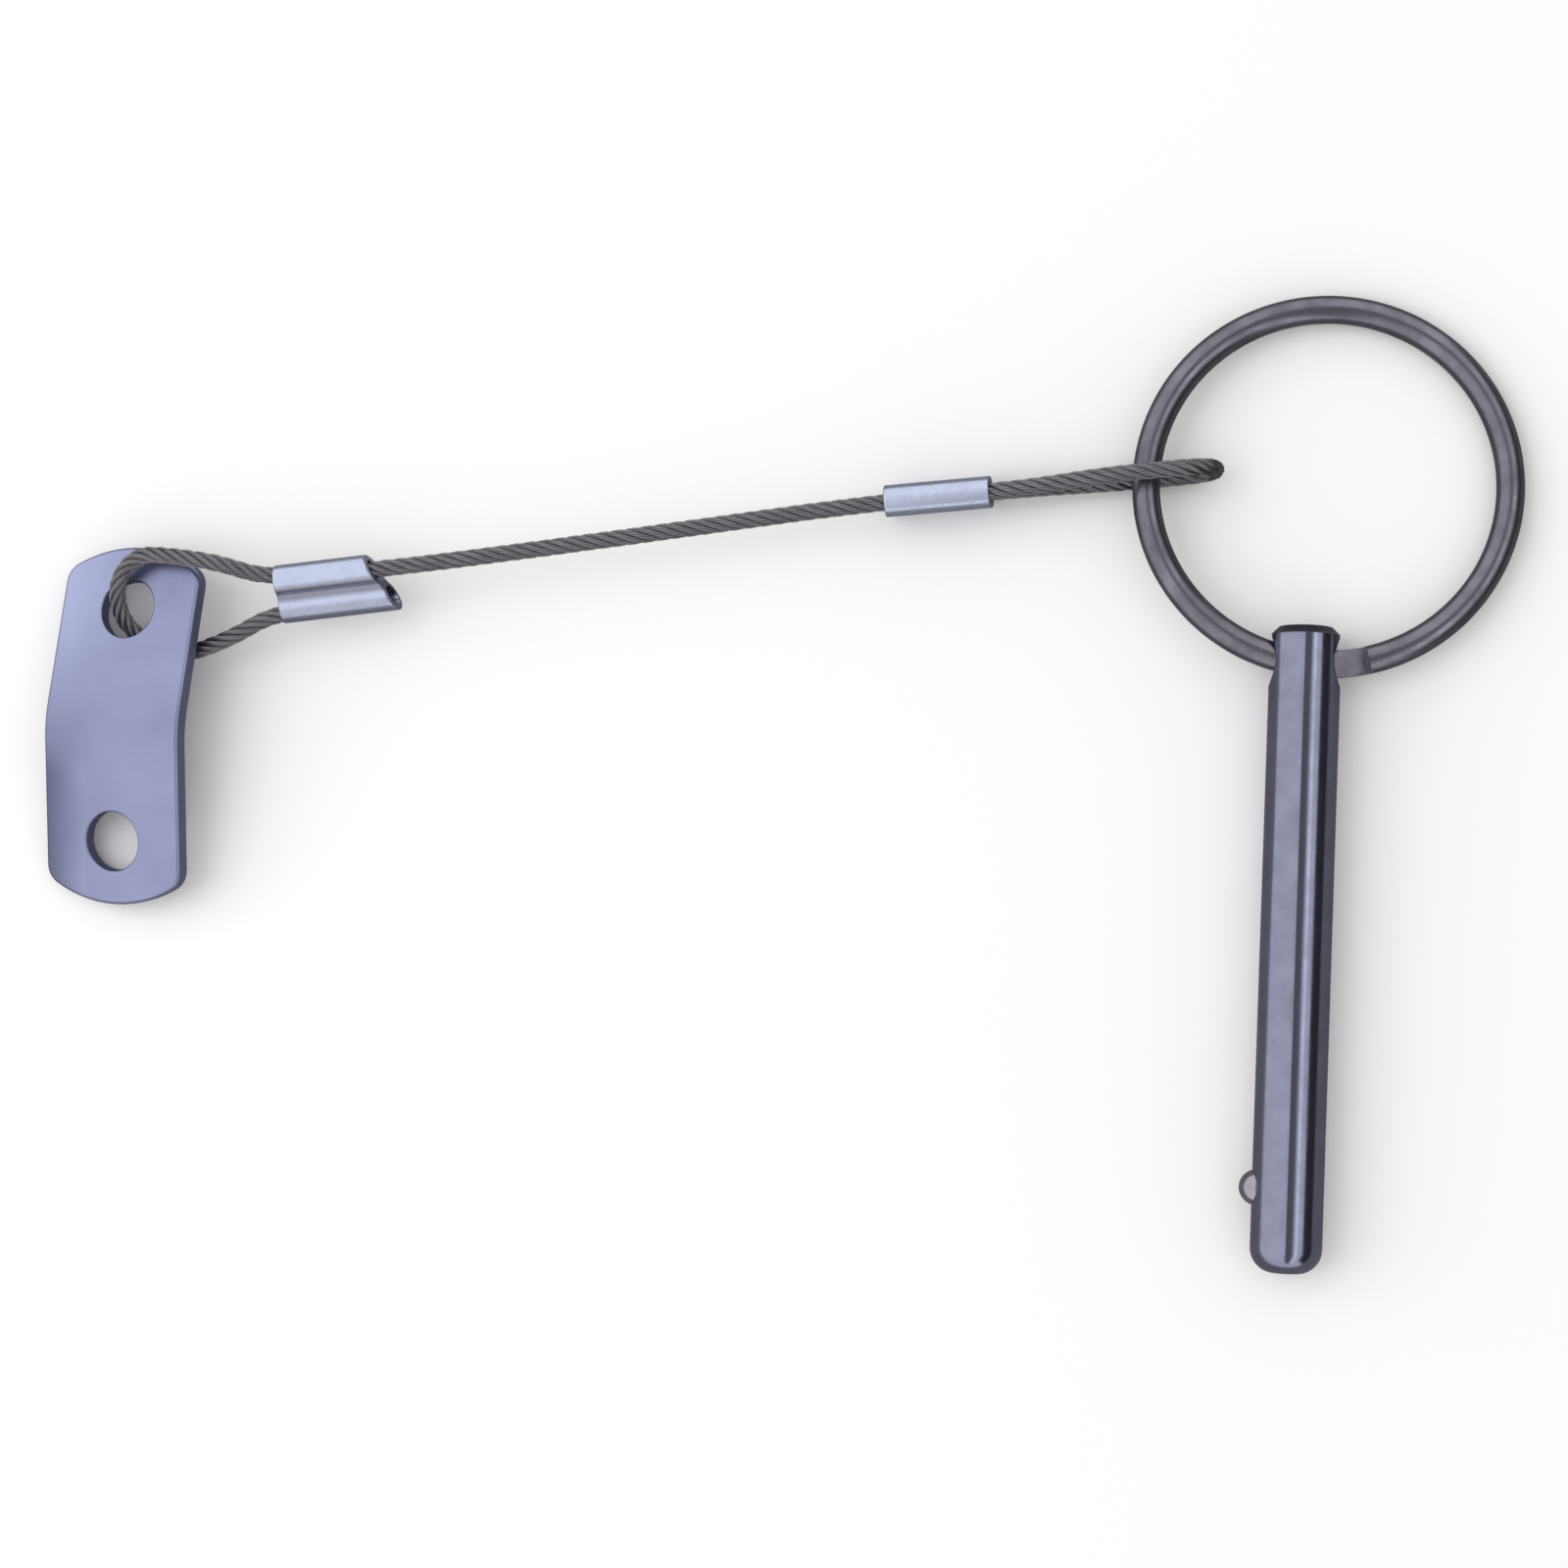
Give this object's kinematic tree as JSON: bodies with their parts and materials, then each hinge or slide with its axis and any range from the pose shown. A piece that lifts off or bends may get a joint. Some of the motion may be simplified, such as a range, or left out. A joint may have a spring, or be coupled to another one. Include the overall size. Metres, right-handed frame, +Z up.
{
  "type": "quick release pin",
  "caption": "Plain pin with a spring ball detent, a split ring through its head, and a wire rope lanyard that ends in a bent mounting tab with a fixing hole.",
  "frame": {"origin": "Where the pin's axis crosses the axis of its ring hole, which is where the ring stops the shank.", "axes": "The pin lies along Y with its tip towards -Y. X is the ring hole's axis, and the lanyard and tab lie towards -X. +Z is up, off the surface that the part lies on."},
  "size_m": [0.1362, 0.088, 0.0076],
  "materials": {
    "pin_steel": "ground stainless steel, bright, with fine lengthwise marks",
    "ball_steel": "polished hard steel",
    "spring_steel": "drawn spring wire",
    "ring_steel": "tumbled spring steel, bright",
    "rope_steel": "stranded stainless wire rope, dull bright",
    "sleeve_aluminium": "plain drawn aluminium, crimped",
    "tab_steel": "satin stainless steel with rounded stamped edges"
  },
  "bodies": {
    "pin": {"pin_body": "pin_steel", "detent_spring": "spring_steel"},
    "ball": {"detent_ball": "ball_steel"},
    "ring": {"split_ring": "ring_steel"},
    "lanyard": {"wire_rope": "rope_steel", "sleeve_ring_end": "sleeve_aluminium", "sleeve_tab_end": "sleeve_aluminium"},
    "tab": {"mounting_tab": "tab_steel"}
  },
  "joints": [
    {"name": "ball_press", "type": "slide", "parent": "pin", "child": "ball", "axis": [1, 0, 0], "range_m": [0, 0.00115], "stiffness_N_per_m": 1500, "springref_m": -0.0005, "deforming": ["detent_spring"]},
    {"name": "ring_swing", "type": "hinge", "parent": "pin", "child": "ring", "pos_m": [0, 0, 0], "axis": [1, 0, 0], "range_deg": [-165, 170]},
    {"name": "lanyard_swing", "type": "hinge", "parent": "ring", "child": "lanyard", "pos_m": [-0.01474, 0.01589, 0.00016], "axis": [-0.0023, 0.9991, -0.0415], "range_deg": [-130, 130]},
    {"name": "tab_swivel", "type": "hinge", "parent": "lanyard", "child": "tab", "pos_m": [-0.10936, 0.00171, 0.00063], "axis": [-0.2227, 0.125, 0.9668], "range_deg": [-25, 25]}
  ]
}
